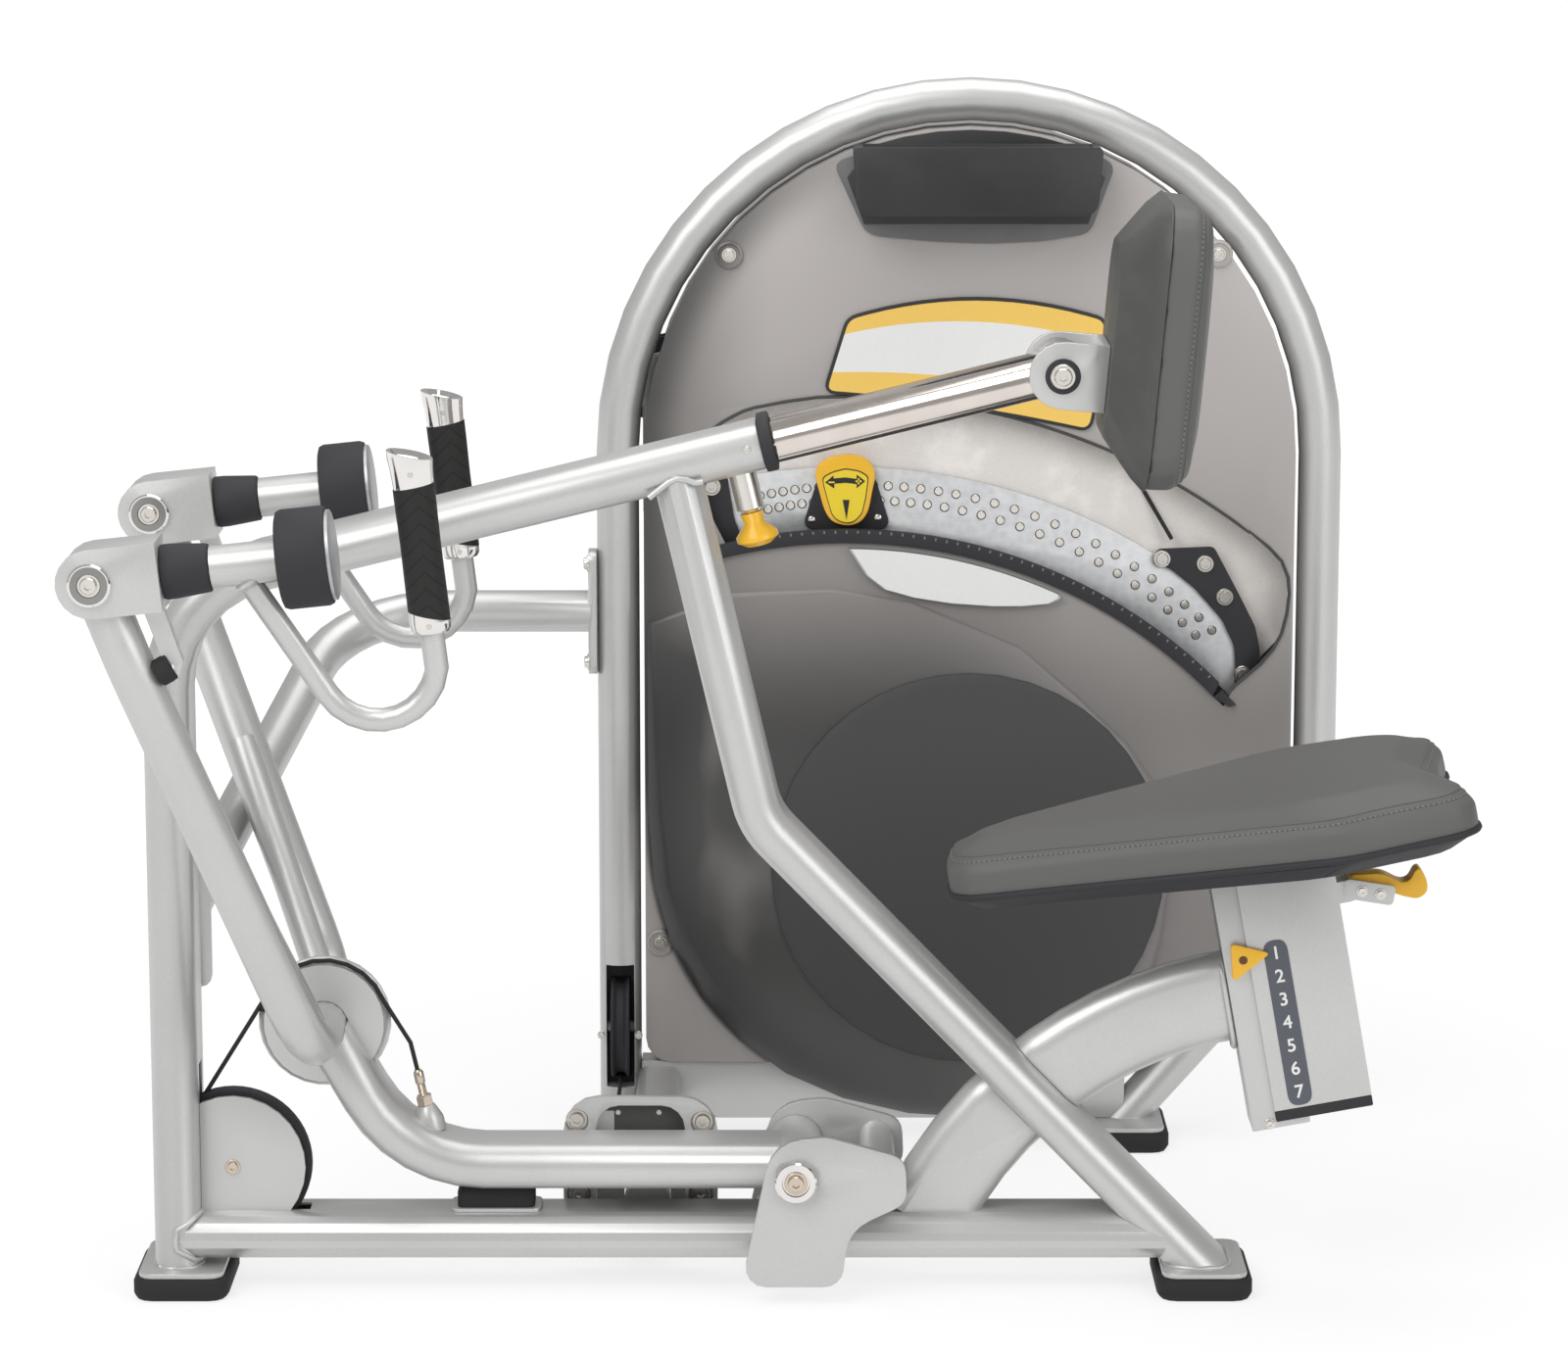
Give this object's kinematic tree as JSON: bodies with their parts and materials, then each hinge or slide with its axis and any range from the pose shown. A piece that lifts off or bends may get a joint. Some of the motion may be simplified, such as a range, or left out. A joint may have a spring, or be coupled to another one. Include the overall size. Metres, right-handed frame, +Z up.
{
  "type": "seated row machine",
  "caption": "Seated row gym machine: bent-tube frame with chest pad, saddle seat, swinging handle arm and an enclosed weight tower driven by a cable.",
  "frame": {"origin": "on the floor under the middle of the bounding box", "axes": "+X from the handle pivots towards the seat, +Y from the seat towards the weight tower, +Z up"},
  "size_m": [1.4924, 1.002, 1.2944],
  "materials": {
    "amber_plastic": "amber yellow",
    "black_plastic": "satin black",
    "black_rubber": "matt black",
    "chrome": "polished",
    "dark_shroud": "dark grey satin",
    "grey_shroud": "warm grey satin",
    "grey_vinyl": "dark grey upholstery vinyl",
    "silver_paint": "light silver satin powder coat",
    "steel_plate": "satin grey plate"
  },
  "bodies": {
    "base_pulley": {"base_pulley": "black_plastic"},
    "frame": {"base_tube": "silver_paint", "beam_collar": "black_plastic", "cable_drop": "black_rubber", "cable_front": "black_rubber", "cable_main": "black_rubber", "disc_cover": "dark_shroud", "front_foot_pad": "black_rubber", "front_shroud": "grey_shroud", "header_housing": "black_plastic", "pivot_bracket": "silver_paint", "pivot_shaft": "chrome", "pop_pin_barrel": "chrome", "post_beam": "silver_paint", "pulley_carrier": "silver_paint", "rear_brace": "silver_paint", "rear_cover": "grey_shroud", "rear_foot_pad": "black_rubber", "seat_rail": "silver_paint", "seat_support": "silver_paint", "stop_bumper": "black_rubber", "tower_arch": "silver_paint", "tower_base": "silver_paint", "tower_brace": "silver_paint", "tower_bridge": "silver_paint", "tower_foot_left": "black_rubber", "tower_foot_right": "black_rubber"},
    "row_arm": {"cable_arm": "black_rubber", "cable_guide": "silver_paint", "row_lever": "silver_paint", "row_yoke": "silver_paint"},
    "chest_tilt": {"chest_pad": "grey_vinyl", "pad_bracket": "silver_paint", "pad_shell": "black_plastic"},
    "chest_slide": {"chest_tube": "chrome"},
    "handle_far": {"clevis_far": "silver_paint", "sleeve_far": "black_plastic"},
    "handle_near": {"clevis_near": "silver_paint", "sleeve_near": "black_plastic"},
    "swivel_far": {"counterweight_far": "black_plastic", "grip_far": "black_rubber", "handle_loop_far": "silver_paint"},
    "swivel_near": {"counterweight_near": "black_plastic", "grip_near": "black_rubber", "handle_loop_near": "silver_paint"},
    "drop_pulley": {"drop_pulley": "black_plastic"},
    "weight_arm": {"end_bracket": "black_plastic", "quadrant": "steel_plate", "weight_disc": "steel_plate"},
    "front_pulley": {"front_pulley": "black_plastic"},
    "leg_pulley": {"leg_pulley": "black_plastic"},
    "pop_pin": {"pop_pin_knob": "amber_plastic"},
    "seat_slide": {"seat_carriage": "silver_paint", "seat_cushion": "grey_vinyl", "seat_end_cap": "black_plastic", "seat_pan": "black_plastic"},
    "seat_lever": {"seat_lever": "amber_plastic"},
    "selector": {"selector": "black_plastic"},
    "squeeze": {"squeeze_trigger": "amber_plastic"},
    "upper_pulley": {"upper_pulley": "black_plastic"}
  },
  "joints": [
    {"name": "row_arm_swing", "type": "hinge", "parent": "frame", "child": "row_arm", "pos_m": [0.01463, -0.199, 0.142], "axis": [0, 1, 0], "range_deg": [0, 20], "deforming": ["cable_front"]},
    {"name": "handle_lift_near", "type": "hinge", "parent": "row_arm", "child": "handle_near", "pos_m": [-0.71037, -0.449, 0.831], "axis": [0, -1, 0], "range_deg": [0, 30]},
    {"name": "handle_swivel_near", "type": "hinge", "parent": "handle_near", "child": "swivel_near", "pos_m": [-0.63976, -0.449, 0.83842], "axis": [0.9945, 0, 0.1045], "range_deg": [-30, 30]},
    {"name": "handle_lift_far", "type": "hinge", "parent": "row_arm", "child": "handle_far", "pos_m": [-0.71037, 0.051, 0.831], "axis": [0, -1, 0], "range_deg": [0, 30]},
    {"name": "handle_swivel_far", "type": "hinge", "parent": "handle_far", "child": "swivel_far", "pos_m": [-0.63976, 0.051, 0.83842], "axis": [0.9945, 0, 0.1045], "range_deg": [-30, 30]},
    {"name": "chest_pad_reach", "type": "slide", "parent": "frame", "child": "chest_slide", "axis": [0.9711, 0, 0.2385], "range_m": [-0.15, 0.05]},
    {"name": "chest_pad_tilt", "type": "hinge", "parent": "chest_slide", "child": "chest_tilt", "pos_m": [0.29813, -0.199, 1.0185], "axis": [0, 1, 0], "range_deg": [-10, 10]},
    {"name": "pop_pin_pull", "type": "slide", "parent": "frame", "child": "pop_pin", "axis": [0.2385, 0, -0.9711], "range_m": [0, 0.012], "stiffness_N_per_m": 1500, "springref_m": -0.004},
    {"name": "seat_height", "type": "slide", "parent": "frame", "child": "seat_slide", "axis": [-0.1788, 0, 0.9839], "range_m": [0, 0.159]},
    {"name": "seat_release", "type": "hinge", "parent": "seat_slide", "child": "seat_lever", "pos_m": [0.61746, -0.199, 0.44963], "axis": [0, -1, 0], "range_deg": [0, 12], "stiffness_Nm_per_rad": 3, "springref_deg": -5.73},
    {"name": "weight_arm_swing", "type": "hinge", "parent": "frame", "child": "weight_arm", "pos_m": [-0.08233, 0.3995, 0.78605], "axis": [0, -1, 0], "range_deg": [0, 22], "deforming": ["cable_drop"]},
    {"name": "weight_select", "type": "hinge", "parent": "weight_arm", "child": "selector", "pos_m": [0.07663, 0.3935, 0.129], "axis": [0, 1, 0], "range_deg": [-5, 24]},
    {"name": "selector_squeeze", "type": "slide", "parent": "selector", "child": "squeeze", "axis": [0, 0, -1], "range_m": [0, 0.006], "stiffness_N_per_m": 1500, "springref_m": -0.003},
    {"name": "front_pulley_spin", "type": "hinge", "parent": "frame", "child": "front_pulley", "pos_m": [-0.60537, -0.199, 0.138], "axis": [0, 1, 0], "range_deg": [-2, 164]},
    {"name": "base_pulley_spin", "type": "hinge", "parent": "frame", "child": "base_pulley", "pos_m": [-0.22687, -0.1895, 0.063], "axis": [0, 0, -1], "range_deg": [-2, 368]},
    {"name": "leg_pulley_spin", "type": "hinge", "parent": "frame", "child": "leg_pulley", "pos_m": [-0.19737, 0.401, 0.141], "axis": [-1, 0, 0], "range_deg": [-2, 185]},
    {"name": "upper_pulley_spin", "type": "hinge", "parent": "frame", "child": "upper_pulley", "pos_m": [-0.14787, 0.4605, 0.93], "axis": [0, -1, 0], "range_deg": [-2, 221]},
    {"name": "drop_pulley_spin", "type": "hinge", "parent": "frame", "child": "drop_pulley", "pos_m": [0.25163, 0.4605, 1.01], "axis": [0, -1, 0], "range_deg": [-2, 221]}
  ],
  "couplings": [
    {"joint": "weight_arm_swing", "follows": "row_arm_swing", "ratio": 1.05},
    {"joint": "front_pulley_spin", "follows": "row_arm_swing", "ratio": 7.926},
    {"joint": "base_pulley_spin", "follows": "row_arm_swing", "ratio": 18.136},
    {"joint": "leg_pulley_spin", "follows": "row_arm_swing", "ratio": 8.992},
    {"joint": "upper_pulley_spin", "follows": "row_arm_swing", "ratio": 10.808},
    {"joint": "drop_pulley_spin", "follows": "row_arm_swing", "ratio": 10.808}
  ]
}
